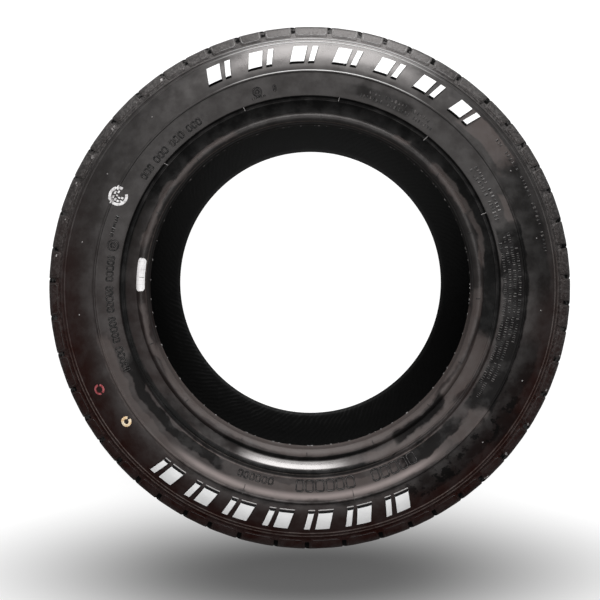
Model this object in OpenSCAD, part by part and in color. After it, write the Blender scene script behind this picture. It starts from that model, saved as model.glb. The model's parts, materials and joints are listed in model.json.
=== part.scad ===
// Low-profile car tyre, lying on its back sidewall.
// +Z is the wheel axis, out of the side with the white bars. The origin is the wheel centre.

/* [Casing] */
// Overall width across the sidewalls
section_w = 226; // [218:1:234]
// Height of the section, from the bead seat to the middle of the tread
section_h = 107.8; // [103:0.2:113]
// Radius of the tread's crown, seen in section
crown_r = 760; // [600:10:2000]
// How far the flat part of the tread stops short of the widest place, on each side
shoulder_w = 31; // [29:0.5:33]
// Rubber and belts between the tread's surface and the inner liner
tread_t = 13.5; // [12.5:0.5:16]
// Sidewall thickness at its widest
sidewall_t = 7; // [5:0.5:10]

/* [Bead] */
// Diameter of the cylindrical bead seat, for a 13 inch rim
seat_d = 329.4; // [327:0.1:332]
// Length of the cylindrical seat along the axis
seat_len = 7; // [5:0.5:8]
// How far the beads stand in from the widest place, on each side
bead_inset = 12; // [10:0.5:14]
// Height of the rounded bead above its seat
bead_h = 10; // [9:0.5:11]
// How far the bead's rounded face stands out
bead_bulge = 2.6; // [1.5:0.1:3.5]
// How far the toe stands in from the seat, on the radius
toe_drop = 1.7; // [1:0.1:2.5]
// Length of the tapered toe along the axis
toe_len = 2.5; // [1.5:0.5:4]
// Height of the lip that covers the rim's flange, above the seat
lip_h = 25.8; // [24:0.2:28]
// Depth of the channel under the lip
channel_depth = 5; // [3:0.5:6]

/* [Tread] */
// Short, medium and long pitches, in their order round the tyre
pitch_order = "SMLLLMSMSMLLMLMSMSSSSMLLLMLLMLLMSSMSMLMSSSMLMSSSMSMS";
// Length of a medium pitch over a short one
medium_ratio = 1.17; // [1.1:0.01:1.25]
// Length of a long pitch over a short one
long_ratio = 1.4; // [1.25:0.01:1.5]
// Angle of the first pitch, clockwise from the right
first_pitch_a = 4.2; // [0:0.1:7]
// Depth of the grooves round the tread
groove_depth = 7.5; // [6:0.5:9]
// Width of the grooves round the tread
groove_w = 9; // [7:0.5:11]
// Distance of the inner grooves from the tread's middle
inner_groove_z = 21; // [19:0.5:23]
// Distance of the outer grooves from the tread's middle
outer_groove_z = 54; // [52:0.5:56]
// Width of the slots between the shoulder blocks
slot_w = 3; // [2:0.2:4]
// Depth of the slots and notches
slot_depth = 6; // [4:0.5:7]
// Slant of the slots
slot_slant = 35; // [20:1:40]
// Width of the shallow channels that carry the slots on over the shoulder
side_slot_w = 4.5; // [3:0.5:6]
// Depth of the shallow channels where they start
side_slot_depth = 1.3; // [0.8:0.1:2]
// How far below the crown the shoulder blocks end on the sidewall
block_run = 19; // [17:0.5:21]
// Height of the shoulder blocks' lower edge above the sidewall
block_step = 0.8; // [0.4:0.1:1.2]
// Width of the notches in the ribs
notch_w = 2.2; // [1.6:0.2:3]
// Length of the notches in the two side ribs
side_notch_len = 17; // [10:1:20]
// Length of the notches in the middle rib
middle_notch_len = 8; // [5:0.5:10]
// Slant of the notches
notch_slant = 24; // [10:1:35]

/* [White bars] */
// Length of the bars along the radius
bars_len = 19.5; // [16:0.5:21]
// Gap between the bars' outer ends and the top of the sidewall
bars_gap = 3; // [2:0.5:5]
// How far the bars stand off the sidewall
bars_t = 1.8; // [0.8:0.1:2.4]
// Angle over which the upper bars are spread
upper_span_a = 71.5; // [50:0.5:90]
// Middle of the upper bars, from the right
upper_mid_a = 80.8; // [60:0.1:110]
// Angle over which the lower bars are spread
lower_span_a = 65.5; // [50:0.5:90]
// Middle of the lower bars, from the right
lower_mid_a = -97.8; // [-120:0.1:-70]
// Number of bar pairs in each arc
bar_pairs = 7; // [4:1:9]
// Width of the wide bar in a pair
wide_bar_w = 15; // [10:0.5:17]
// Width of the narrow bar in a pair
narrow_bar_w = 6.5; // [4:0.5:8]
// Gap between the two bars in a pair
bar_gap = 4; // [3:0.5:5]
// Lean of the bars from the radius
bar_lean = 14; // [0:1:20]

/* [Label] */
// Angle of the label's middle, from the right
label_mid_a = 176.1; // [150:0.1:200]
// Length of the label along the bead
label_len = 34; // [20:1:45]
// Width of the label across the bead
label_w = 8.4; // [5:0.1:9]
// Thickness of the label
label_t = 0.3; // [0.2:0.05:0.5]

/* [Hidden] */
$fn = 120;

// Raised lines on the sidewall: width of the top, height, and place on their stretch
ridge_w = 1.2;
ridge_h = 0.9;
upper_ridge_at = 0.44;
lower_ridge_at = 0.85;
land_w = 1.2;
land_h = 0.9;
rim_line_w = 1;
rim_line_h = 1.8;
rim_line_run = 2.3;

// How far the curved stretches stand out from straight lines
shoulder_bow = 3.2;
wall_bow = 2.2;
flank_bow = 0.5;
band_bow = -1.2;
lower_liner_bow = -2;
upper_liner_bow = -10;

// Other small sizes
groove_taper = 1.2;
block_end_drop = 3.5;
wall_top_run = 9.5;
wall_top_rise = 6;
land_run = 4;
lip_drop = 3.2;
lip_taper = 0.7;
channel_w = 2.5;
valley_drop = 1.5;
heel_rise = 1.8;
heel_len = 3.5;
toe_t = 3;
liner_inset = 10;
slot_reach = 4;
slot_rise = 3;
side_slot_lead = 1;
side_slot_end_at = 0.6;
label_gap = 0.3;
cut_past = 2;

// Sizes that follow from the ones above
seat_r = seat_d / 2;
outer_r = seat_r + section_h;
wide_z = section_w / 2;
tread_half_w = wide_z - shoulder_w;
flank_z = wide_z - bead_inset;
pitches = len(pitch_order);

// Radius of the crown at a distance z from the tread's middle
function tread_r(z) = outer_r - (crown_r - sqrt(crown_r * crown_r - z * z));

// Point at a share t of the way from a to b, lifted out of the rubber by h
function lifted(a, b, t, h) =
    let (way = b - a)
    a + t * way + h * [way[1], -way[0]] / norm(way);

// Points from a up to b on a curve that stands out by h in its middle
function bow(a, b, h, n) = [
    for (i = [0 : n - 1])
        let (t = i / n)
            lifted(a, b, t, 4 * h * t * (1 - t))
];

// A raised line across the way from a to b, with its middle at a share of the way
function raised_line(a, b, middle, w, h) =
    let (t = w / norm(b - a))
    [
        lifted(a, b, middle - t, 0),
        lifted(a, b, middle - t / 2, h),
        lifted(a, b, middle + t / 2, h),
        lifted(a, b, middle + t, 0)
    ];

function mirrored(points) = [
    for (i = [len(points) - 1 : -1 : 0])
        [points[i][0], -points[i][1]]
];

function groove(z) = [
    [tread_r(z - groove_w / 2), z - groove_w / 2],
    [tread_r(z) - groove_depth, z - groove_w / 2 + groove_taper],
    [tread_r(z) - groove_depth, z + groove_w / 2 - groove_taper],
    [tread_r(z + groove_w / 2), z + groove_w / 2]
];

// Named places on the outline of the front half, as [radius, z]
tread_edge = [tread_r(tread_half_w), tread_half_w];
block_end = [outer_r - block_run, flank_z - block_end_drop];
block_foot = block_end - block_step * [0.5, 0.8];
wall_top = block_end + [-wall_top_run, wall_top_rise];
lip = [seat_r + lip_h, wide_z - lip_drop];
wide = [(wall_top[0] + lip[0]) / 2, wide_z - land_h];
land_end = wide - [land_run, 0];
channel = lip - [channel_w, channel_depth];
band_top = channel - [rim_line_run, 0];
valley = [seat_r + bead_h, flank_z - valley_drop];
heel_top = [seat_r + heel_rise, flank_z - heel_rise];
heel = [seat_r, flank_z - heel_len];
seat_end = heel - [0, seat_len];
toe = seat_end - [toe_drop, toe_len];

// The sidewall from the foot of the shoulder blocks down to the heel of the bead
sidewall_line = concat(
    [block_foot],
    raised_line(block_foot, wall_top, upper_ridge_at, ridge_w, ridge_h),
    raised_line(block_foot, wall_top, lower_ridge_at, ridge_w, ridge_h),
    bow(wall_top, wide, wall_bow, 8),
    [wide],
    raised_line(wide, land_end, 0.5, land_w, land_h),
    bow(land_end, lip, flank_bow, 4),
    [
        lip,
        [lip[0] - lip_taper, channel[1] + lip_taper],
        channel
    ],
    raised_line(channel, band_top, 0.5, rim_line_w, rim_line_h),
    bow(band_top, valley, band_bow, 5),
    bow(valley, heel_top, bead_bulge, 6),
    [heel_top, heel]
);

outline_outer = concat(
    groove(inner_groove_z),
    groove(outer_groove_z),
    bow(tread_edge, block_end, shoulder_bow, 5),
    [block_end],
    sidewall_line,
    [seat_end, toe]
);

// Named places on the inner liner of the front half
toe_back = toe + [toe_t, -toe_t];
liner_wide = [wide[0], wide_z - sidewall_t];
liner_shoulder = [tread_edge[0] - tread_t, tread_half_w - liner_inset];

outline_inner = concat(
    bow(toe_back, liner_wide, lower_liner_bow, 6),
    bow(liner_wide, liner_shoulder, upper_liner_bow, 8),
    [
        liner_shoulder,
        [tread_r(liner_shoulder[1] / 2) - tread_t, liner_shoulder[1] / 2]
    ]
);

half_section = concat(outline_outer, outline_inner);

// Angles of the pitches round the tyre
function ratio(letter) = letter == "S" ? 1 : letter == "M" ? medium_ratio : long_ratio;
function total(list, n) = n == 0 ? 0 : list[n - 1] + total(list, n - 1);
ratios = [for (letter = pitch_order) ratio(letter)];
short_pitch_a = 360 / total(ratios, pitches);
pitch_angles = [for (i = [0 : pitches - 1]) -(first_pitch_a + total(ratios, i) * short_pitch_a)];

// A slanted slot from the outer groove to just over the tread's edge
module slot_cut() {
    z_out = tread_half_w + slot_reach;
    length = (z_out - outer_groove_z) / cos(slot_slant);
    translate([0, 0, z_out])
        rotate([90 - slot_slant, 0, 0])
            linear_extrude(slot_w, center = true)
                polygon([
                    [tread_r(outer_groove_z) - slot_depth, -length],
                    [outer_r + cut_past, -length],
                    [outer_r + cut_past, slot_rise],
                    [tread_edge[0] - side_slot_depth, slot_rise],
                    [tread_edge[0] - slot_depth, -slot_rise]
                ]);
}

// A shallow channel from the end of a slot down to just above the foot of the shoulder blocks
module side_slot_cut() {
    start = tread_edge - [side_slot_depth, side_slot_lead];
    end = block_end + side_slot_end_at * (block_foot - block_end);
    rotate([90, 0, 0])
        linear_extrude(side_slot_w, center = true)
            polygon(concat(
                bow(start, end, shoulder_bow, 5),
                [
                    end,
                    end + [0, cut_past],
                    [outer_r + cut_past, end[1] + cut_past],
                    [outer_r + cut_past, start[1]]
                ]
            ));
}

// A notch that opens into a groove's wall at z_wall and slants towards the tread's middle
module notch_cut(z_wall, length) {
    translate([tread_r(z_wall) - slot_depth, 0, z_wall])
        rotate([notch_slant, 0, 0])
            translate([0, -notch_w / 2, -length])
                cube([slot_depth + cut_past, notch_w, length + cut_past]);
}

module side_cuts() {
    for (a = pitch_angles)
        rotate([0, 0, a]) {
            slot_cut();
            side_slot_cut();
            notch_cut(outer_groove_z - groove_w / 2, side_notch_len);
            notch_cut(inner_groove_z - groove_w / 2, middle_notch_len);
        }
}

module tyre() {
    color([0.09, 0.09, 0.09])
        difference() {
            rotate_extrude()
                polygon(concat(half_section, mirrored(half_section)));
            side_cuts();
            mirror([0, 0, 1])
                side_cuts();
        }
}

// Section of a layer that lies on the sidewall between two radii
function layer(inner_end_r, outer_end_r, thickness) =
    let (
        under = concat(
            [[outer_end_r, lookup(outer_end_r, sidewall_line)]],
            [for (p = sidewall_line) if (p[0] < outer_end_r && p[0] > inner_end_r) p],
            [[inner_end_r, lookup(inner_end_r, sidewall_line)]]
        ),
        last = len(under) - 1
    )
    concat(under, [for (i = [0 : last]) under[last - i] + [0, thickness]]);

// Radii of the bars' ends
bars_outer_r = wall_top[0] - bars_gap;
bars_inner_r = bars_outer_r - bars_len;

module bar(a, w) {
    lean = bars_len * tan(bar_lean) / 2;
    rotate([0, 0, a])
        linear_extrude(section_w)
            polygon([
                [bars_inner_r - cut_past, -w / 2 + lean],
                [bars_inner_r - cut_past, w / 2 + lean],
                [bars_outer_r + cut_past, w / 2 - lean],
                [bars_outer_r + cut_past, -w / 2 - lean]
            ]);
}

module bars(mid_a, span_a) {
    degrees_per_mm = 360 / (PI * (bars_inner_r + bars_outer_r));
    pair_w = wide_bar_w + bar_gap + narrow_bar_w;
    wide_off = (pair_w - wide_bar_w) / 2 * degrees_per_mm;
    narrow_off = (pair_w - narrow_bar_w) / 2 * degrees_per_mm;
    step_a = (span_a - pair_w * degrees_per_mm) / (bar_pairs - 1);
    color("white")
        intersection() {
            rotate_extrude()
                polygon(layer(bars_inner_r, bars_outer_r, bars_t));
            for (i = [0 : bar_pairs - 1]) {
                a = mid_a + (i - (bar_pairs - 1) / 2) * step_a;
                bar(a + wide_off, wide_bar_w);
                bar(a - narrow_off, narrow_bar_w);
            }
        }
}

module upper_bars() {
    bars(upper_mid_a, upper_span_a);
}

module lower_bars() {
    bars(lower_mid_a, lower_span_a);
}

module bead_label() {
    label_outer_r = valley[0] - label_gap;
    span_a = label_len / label_outer_r * 180 / PI;
    color("ivory")
        rotate([0, 0, label_mid_a - span_a / 2])
            rotate_extrude(angle = span_a)
                polygon(layer(label_outer_r - label_w, label_outer_r, label_t));
}

tyre();
upper_bars();
lower_bars();
bead_label();
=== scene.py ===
"""The looks of a car tyre that lies on its back sidewall, in metres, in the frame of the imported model.

Outlines are worked out in millimetres as (radius, z) pairs, and angles in degrees from +X.
"""

import json
import math
import random
from dataclasses import dataclass, replace
from types import SimpleNamespace

import bpy
import numpy as np
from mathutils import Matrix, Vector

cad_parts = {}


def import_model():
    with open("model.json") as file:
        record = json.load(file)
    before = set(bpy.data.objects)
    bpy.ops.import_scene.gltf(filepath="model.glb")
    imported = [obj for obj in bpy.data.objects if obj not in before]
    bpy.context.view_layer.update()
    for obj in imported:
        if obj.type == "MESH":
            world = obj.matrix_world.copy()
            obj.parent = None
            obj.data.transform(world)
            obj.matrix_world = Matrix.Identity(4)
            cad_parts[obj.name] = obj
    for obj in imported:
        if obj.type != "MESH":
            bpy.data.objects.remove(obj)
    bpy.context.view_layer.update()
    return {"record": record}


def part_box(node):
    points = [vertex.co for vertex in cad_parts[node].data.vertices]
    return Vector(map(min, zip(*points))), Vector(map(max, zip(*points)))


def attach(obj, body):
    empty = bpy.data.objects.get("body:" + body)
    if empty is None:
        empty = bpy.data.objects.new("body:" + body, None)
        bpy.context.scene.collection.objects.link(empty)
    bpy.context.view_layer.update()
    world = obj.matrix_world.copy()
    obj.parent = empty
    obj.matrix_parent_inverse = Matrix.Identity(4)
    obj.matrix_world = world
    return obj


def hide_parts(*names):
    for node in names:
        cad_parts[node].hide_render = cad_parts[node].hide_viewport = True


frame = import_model()

MM = 0.001
TURN = 2 * math.pi

# Driving sizes from the frame
BOX_LOW, BOX_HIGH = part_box("tyre")
MOUNTS = {mount["name"]: mount for mount in frame["record"]["mounts"]}
SEAT_R = MOUNTS["front_bead_seat"]["dims"]["r_mm"]
WIDE_Z = BOX_HIGH.z / MM
RIB_R = BOX_HIGH.x / MM

# Casing, as on the solid
CROWN_R = 760
TREAD_HALF_W = WIDE_Z - 31
TREAD_T = 13.5
SIDEWALL_T = 7
FLANK_Z = WIDE_Z - 12

# Tread, as on the solid
PITCH_ORDER = "SMLLLMSMSMLLMLMSMSSSSMLLLMLLMLLMSSMSMLMSSSMLMSSSMSMS"
PITCH_RATIO = {"S": 1, "M": 1.17, "L": 1.4}
FIRST_PITCH_A = 4.2
GROOVE_DEPTH = 7.5
GROOVE_W = 9
GROOVE_TAPER = 1.2
INNER_GROOVE_Z = 21
OUTER_GROOVE_Z = 54
SLOT_W = 3
SLOT_DEPTH = 6
SLOT_SLANT = math.radians(35)
SLOT_HALF = SLOT_W / 2 / math.cos(SLOT_SLANT)
SLOT_END_Z = TREAD_HALF_W + 4
SLOT_RISE = 3 * math.cos(SLOT_SLANT)
SIDE_SLOT_W = 4.5
SIDE_SLOT_DEPTH = 1.3
NOTCH_W = 2.2
SIDE_NOTCH_Z = 34
MIDDLE_NOTCH_Z = 9.2
NOTCH_SLOPE = math.tan(math.radians(24))

# Finer than on the solid: tapered walls and cut edges of the slots, sipes, and where a block's columns stand
WALL_TAPER = 0.25
EDGE_CUT = 0.35
SIPE_W = 0.8
SIPE_DEPTH = 3.5
SIPE_EDGE_CUT = 0.1
SIPE_Z = 63
SIPE_MIDDLE_Z = 73
EDGE_RUN = 0.9
COLUMN_SHARE = 0.27

# Shoulder: its rings, the shares of the way down it where the slots have their full width, where the sipes
# end, where the painted shade in the slots ends and where the slots start to flare, and how far they flare
SHOULDER_STEPS = 16
WIDE_SLOT_T = 0.25
SIPE_END_T = 0.4
DARK_SLOT_T = 0.78
FLARE_T = 0.86
FLARE_W = 1.2

# Columns round the rings of each zone
FRONT_COLUMNS = 300
BACK_COLUMNS = 180
LINER_COLUMNS = 150

# Points at the inner end of a sidewall's outline: from the toe's corner on, and from the heel on
TOE_POINTS = 7
HEEL_POINTS = 12

# The solid's middle rib is flat, so its box has the radius of the crown at that rib's edges
OUTER_R = RIB_R + CROWN_R - math.sqrt(CROWN_R ** 2 - (INNER_GROOVE_Z - GROOVE_W / 2) ** 2)


def crown(z):
    """Radius of the tread at a distance z from its middle."""
    return OUTER_R - (CROWN_R - math.sqrt(CROWN_R ** 2 - z ** 2))


def at(r, z, soft=0.0):
    """A point of an outline. Its corner is cut back by soft on both sides."""
    return np.array((r, z, soft), float)


def lifted(a, b, share, height, soft=0.0):
    """Point at a share of the way from a to b, lifted out of the rubber by height."""
    way = (b - a)[:2]
    out = np.array((way[1], -way[0])) / np.linalg.norm(way)
    r, z = a[:2] + share * way + height * out
    return at(r, z, soft)


def bow(a, b, height, steps):
    """Points from a up to b on a curve that stands out by height in its middle."""
    shares = [i / steps for i in range(steps)]
    return [lifted(a, b, t, 4 * height * t * (1 - t)) for t in shares]


def raised_line(a, b, middle, w, height, soft):
    """A raised line across the way from a to b, with its middle at a share of the way."""
    t = w / np.linalg.norm((b - a)[:2])
    rises = ((-1, 0), (-0.5, height), (0.5, height), (1, 0))
    return [lifted(a, b, middle + side * t, rise, soft) for side, rise in rises]


def softened(points, steps=3):
    """The outline as (r, z) pairs, with each corner that has a soft value rounded."""
    result = []
    for i, point in enumerate(points):
        soft = point[2]
        here = point[:2]
        if soft == 0 or i in (0, len(points) - 1):
            result.append(here)
            continue
        before = points[i - 1][:2] - here
        after = points[i + 1][:2] - here
        cut = min(soft, 0.45 * np.linalg.norm(before), 0.45 * np.linalg.norm(after))
        start = here + before / np.linalg.norm(before) * cut
        end = here + after / np.linalg.norm(after) * cut
        for k in range(steps):
            t = k / (steps - 1)
            result.append((1 - t) ** 2 * start + 2 * t * (1 - t) * here + t ** 2 * end)
    return result


# Named places on the front half's outline, the same as on the solid
TREAD_EDGE = at(crown(TREAD_HALF_W), TREAD_HALF_W)
BLOCK_END = at(OUTER_R - 19, FLANK_Z - 3.5)
BLOCK_STEP = 0.8
BLOCK_FOOT = at(BLOCK_END[0] - BLOCK_STEP * 0.5, BLOCK_END[1] - BLOCK_STEP * 0.8)
WALL_TOP = at(BLOCK_END[0] - 9.5, BLOCK_END[1] + 6)
SHOULDER_BOW = 3.2
RIDGE_H = 0.9
LAND_H = 0.9
LIP = at(SEAT_R + 24.9, WIDE_Z - 3.2, 0.7)
WIDE = at((WALL_TOP[0] + LIP[0]) / 2, WIDE_Z - LAND_H)
LAND_END = at(WIDE[0] - 6, WIDE[1])
CHANNEL = at(LIP[0] - 2.5, LIP[1] - 5, 0.7)
BAND_TOP = at(CHANNEL[0] - 2.3, CHANNEL[1])
VALLEY = at(SEAT_R + 10.6, FLANK_Z - 2.5, 1.2)
HEEL_TOP = at(SEAT_R + 1.8, FLANK_Z - 1.8, 0.5)
HEEL = at(SEAT_R, FLANK_Z - 3.5, 0.8)
SEAT_END = at(SEAT_R, HEEL[1] - 7, 0.6)
TOE = at(SEAT_R - 1.7, SEAT_END[1] - 2.5, 1.0)
TOE_BACK = at(TOE[0] + 3, TOE[1] - 3, 2.0)
LINER_WIDE = at(WIDE[0], WIDE_Z - SIDEWALL_T)
LINER_SHOULDER = at(TREAD_EDGE[0] - TREAD_T, TREAD_HALF_W - 10)

SIDEWALL_POINTS = softened(
    [lifted(BLOCK_FOOT, WALL_TOP, 0.1, 0)]
    + raised_line(BLOCK_FOOT, WALL_TOP, 0.36, 0.9, RIDGE_H, 0.25)
    + raised_line(BLOCK_FOOT, WALL_TOP, 0.76, 0.9, RIDGE_H, 0.25)
    + bow(WALL_TOP, WIDE, 2.2, 10)
    + [WIDE]
    + raised_line(WIDE, LAND_END, 0.5, 1.2, LAND_H, 0.25)
    + bow(LAND_END, LIP, 0.5, 6)
    + [LIP, at(LIP[0] - 0.7, CHANNEL[1] + 0.7, 0.4), CHANNEL]
    + raised_line(CHANNEL, BAND_TOP, 0.5, 1, 1.8, 0.3)
    + bow(BAND_TOP, VALLEY, -0.55, 8)
    + bow(VALLEY, HEEL_TOP, 2.6, 8)
    + [HEEL_TOP, HEEL, SEAT_END, TOE, TOE_BACK, lifted(TOE_BACK, LINER_WIDE, 0.1, -0.7)]
)

LINER_POINTS = softened(
    bow(TOE_BACK, LINER_WIDE, -2, 6)[1:]
    + bow(LINER_WIDE, LINER_SHOULDER, -10, 8)
    + [LINER_SHOULDER, at(crown(LINER_SHOULDER[1] / 2) - TREAD_T, LINER_SHOULDER[1] / 2)]
)

WALL_OUTLINE = np.array(sorted((p[0], p[1]) for p in SIDEWALL_POINTS[:-HEEL_POINTS]))


def wall_z(r):
    """Height of the front sidewall at a radius."""
    return np.interp(r, WALL_OUTLINE[:, 0], WALL_OUTLINE[:, 1])


def linked(name, data):
    """A new object of the scene with the given mesh, lamp or camera."""
    made = bpy.data.objects.new(name, data)
    bpy.context.scene.collection.objects.link(made)
    return made


class Shape:
    """Points in millimetres, faces and their material numbers, on the way to one mesh."""

    def __init__(self):
        self.points = []
        self.faces = []
        self.slots = []

    def add(self, points, faces, slot=0):
        start = len(self.points)
        self.points.extend(points)
        self.faces.extend(tuple(start + i for i in face) for face in faces)
        self.slots.extend([slot] * len(faces))

    def piece(self, name, materials, sharp_deg=38):
        """The Blender object, smooth apart from edges sharper than sharp_deg."""
        mesh = bpy.data.meshes.new(name)
        mesh.from_pydata([tuple(MM * c for c in p) for p in self.points], [], self.faces)
        for material in materials:
            mesh.materials.append(material)
        mesh.polygons.foreach_set("material_index", self.slots)
        mesh.polygons.foreach_set("use_smooth", [True] * len(mesh.polygons))
        mesh.validate()
        mesh.set_sharp_from_angle(angle=math.radians(sharp_deg))
        return linked(name, mesh)


def round_place(r, angle, z):
    """A point in millimetres at a radius and an angle in radians."""
    return (r * math.cos(angle), r * math.sin(angle), z)


def pitch_cells():
    """Start and end angle in radians of each pitch, counterclockwise."""
    ratios = [PITCH_RATIO[letter] for letter in PITCH_ORDER]
    unit = TURN / sum(ratios)
    first = math.radians(FIRST_PITCH_A)
    cuts = [-(first + unit * sum(ratios[:i])) for i in range(len(ratios) + 1)]
    return [(cuts[i + 1], cuts[i]) for i in reversed(range(len(ratios)))]


CELLS = pitch_cells()


@dataclass
class TreadRow:
    """One ring of the tread.

    It has a surface point, the depth and half width of its slot, the depth of its sipe, the direction out of
    the rubber, how far the blocks' edge is cut back, and whether its slot has the painted slot shade.
    """

    r: float
    z: float
    depth: float = 0.0
    half: float = SLOT_W / 2
    sipe: float = 0.0
    out: tuple = (1.0, 0.0)
    edge: float = 0.0
    dark: bool = False

    def mirrored(self):
        return replace(self, z=-self.z, out=(self.out[0], -self.out[1]))

    def ring(self):
        """The ring's points: four for a slot, seven for the block beside it."""
        points = []
        shear = slant_offset(abs(self.z))
        floor_half = self.half - WALL_TAPER
        cut = EDGE_CUT if self.depth else 0.0
        sipe_cut = SIPE_EDGE_CUT if self.sipe else 0.0
        for start, end in CELLS:
            middle = (start + end) / 2
            inset = COLUMN_SHARE * (end - start)
            for angle, offset, drop in (
                (start, -self.half, cut),
                (start, -floor_half, self.depth),
                (start, floor_half, self.depth),
                (start, self.half, cut),
                (start, self.half + EDGE_RUN, 0),
                (start + inset, 0, 0),
                (middle, -SIPE_W / 2, sipe_cut),
                (middle, 0, self.sipe),
                (middle, SIPE_W / 2, sipe_cut),
                (end - inset, 0, 0),
                (end, -self.half - EDGE_RUN, 0),
            ):
                low = max(drop, self.edge)
                r = self.r - low * self.out[0]
                z = self.z - low * self.out[1]
                points.append(round_place(r, angle + (offset + shear) / self.r, z))
        return points


def slant_offset(z):
    """How far the slanted slots and notches have moved round the tyre at a distance z from the middle."""
    shoulder_wall = OUTER_GROOVE_Z + GROOVE_W / 2
    side_wall = OUTER_GROOVE_Z - GROOVE_W / 2
    middle_wall = INNER_GROOVE_Z - GROOVE_W / 2
    if z > OUTER_GROOVE_Z:
        return math.tan(SLOT_SLANT) * (min(max(z, shoulder_wall), SLOT_END_Z) - SLOT_END_Z)
    if z >= side_wall:
        return 0.0
    if z >= INNER_GROOVE_Z + GROOVE_W / 2:
        return NOTCH_SLOPE * (side_wall - max(z, SIDE_NOTCH_Z))
    if z > middle_wall:
        share = (z - middle_wall) / GROOVE_W
        return share * NOTCH_SLOPE * (side_wall - SIDE_NOTCH_Z)
    return NOTCH_SLOPE * (middle_wall - max(z, MIDDLE_NOTCH_Z))


def groove_rows(z):
    """The floor of a groove round the tread."""
    r = crown(z) - GROOVE_DEPTH
    return [TreadRow(r, z - GROOVE_W / 2 + GROOVE_TAPER), TreadRow(r, z + GROOVE_W / 2 - GROOVE_TAPER)]


def rib_rows(low, high, notch_z=None):
    """A rib from low to high, with a notch from notch_z to its outer wall."""
    def row(z, depth=0.0, edge=0.0):
        return TreadRow(crown(z), z, depth, NOTCH_W / 2, edge=edge)
    rows = []
    if low > 0:
        rows += [row(low, edge=EDGE_CUT), row(low + EDGE_CUT)]
    else:
        rows += [row(0.0)]
    return rows + [
        row(notch_z - WALL_TAPER),
        row(notch_z, SLOT_DEPTH),
        row(high - EDGE_CUT, SLOT_DEPTH),
        row(high, SLOT_DEPTH, EDGE_CUT),
    ]


def shoulder_normal(t):
    """Direction out of the shoulder at a share t of the way from the tread's edge to the blocks' end."""
    way = (BLOCK_END - TREAD_EDGE)[:2]
    length = np.linalg.norm(way)
    lean = 4 * SHOULDER_BOW * (1 - 2 * t) / length
    out = np.array((way[1], -way[0])) / length - lean * way / length
    return out / np.linalg.norm(out)


def shoulder_point(t):
    return lifted(TREAD_EDGE, BLOCK_END, t, 4 * SHOULDER_BOW * t * (1 - t))[:2]


def shoulder_rows():
    """The shoulder blocks, from the outer groove to their foot on the sidewall."""
    low = OUTER_GROOVE_Z + GROOVE_W / 2
    rows = []
    for z, sipe, edge in (
        (low, 0.0, EDGE_CUT),
        (low + EDGE_CUT, 0.0, 0.0),
        (SIPE_Z - WALL_TAPER, 0.0, 0.0),
        (SIPE_Z, SIPE_DEPTH, 0.0),
        (SIPE_MIDDLE_Z, SIPE_DEPTH, 0.0),
    ):
        rows.append(TreadRow(crown(z), z, SLOT_DEPTH, SLOT_HALF, sipe, edge=edge))
    floor_low = TREAD_EDGE[0] - SLOT_DEPTH
    floor_high = TREAD_EDGE[0] - SIDE_SLOT_DEPTH
    for i in range(SHOULDER_STEPS + 1):
        t = i / SHOULDER_STEPS
        r, z = shoulder_point(t)
        rise = (z - SLOT_END_Z + SLOT_RISE) / (2 * SLOT_RISE)
        deep = r - np.interp(rise, (0, 1), (floor_low, floor_high))
        side = SIDE_SLOT_DEPTH + (BLOCK_STEP - SIDE_SLOT_DEPTH) * t
        out = (1.0, 0.0) if deep > side else tuple(shoulder_normal(t))
        half = SLOT_HALF + min(1.0, t / WIDE_SLOT_T) * (SIDE_SLOT_W / 2 - SLOT_HALF)
        half += FLARE_W * max(0.0, (t - FLARE_T) / (1 - FLARE_T)) ** 2
        sipe = SIPE_DEPTH * max(0.0, 1 - (t / SIPE_END_T) ** 3)
        edge = EDGE_CUT if i == SHOULDER_STEPS else 0.0
        rows.append(TreadRow(r, z, max(deep, side), half, sipe, out, edge, dark=t < DARK_SLOT_T))
    rows.append(TreadRow(BLOCK_FOOT[0], BLOCK_FOOT[1], half=SIDE_SLOT_W / 2 + FLARE_W))
    return rows


def ring_of(points, count):
    """Rings of evenly spaced columns at the given (r, z) pairs."""
    angles = [TURN * i / count for i in range(count)]
    return [[round_place(r, a, z) for a in angles] for r, z in points]


def by_turn(ring, first):
    """A ring's angles about the axis in rising order and its points' places, each closed by the first."""
    angles = [math.atan2(point[1], point[0]) % TURN for point in ring]
    order = sorted(range(len(ring)), key=lambda k: angles[k])
    turns = [angles[k] for k in order] + [angles[order[0]] + TURN]
    return turns, [first + k for k in order + order[:1]]


def join_rings(a, b, first_a, first_b):
    """Faces between two closed rings of points, which may have different counts."""
    if len(a) == len(b):
        after = [(i + 1) % len(a) for i in range(len(a))]
        return [(first_a + i, first_a + k, first_b + k, first_b + i) for i, k in enumerate(after)]
    turns_a, places_a = by_turn(a, first_a)
    turns_b, places_b = by_turn(b, first_b)
    faces = []
    i = j = 0
    while i < len(a) or j < len(b):
        if j == len(b) or (i < len(a) and turns_a[i + 1] <= turns_b[j + 1]):
            faces.append((places_a[i], places_a[i + 1], places_b[j]))
            i += 1
        else:
            faces.append((places_a[i], places_b[j + 1], places_b[j]))
            j += 1
    return faces


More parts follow.
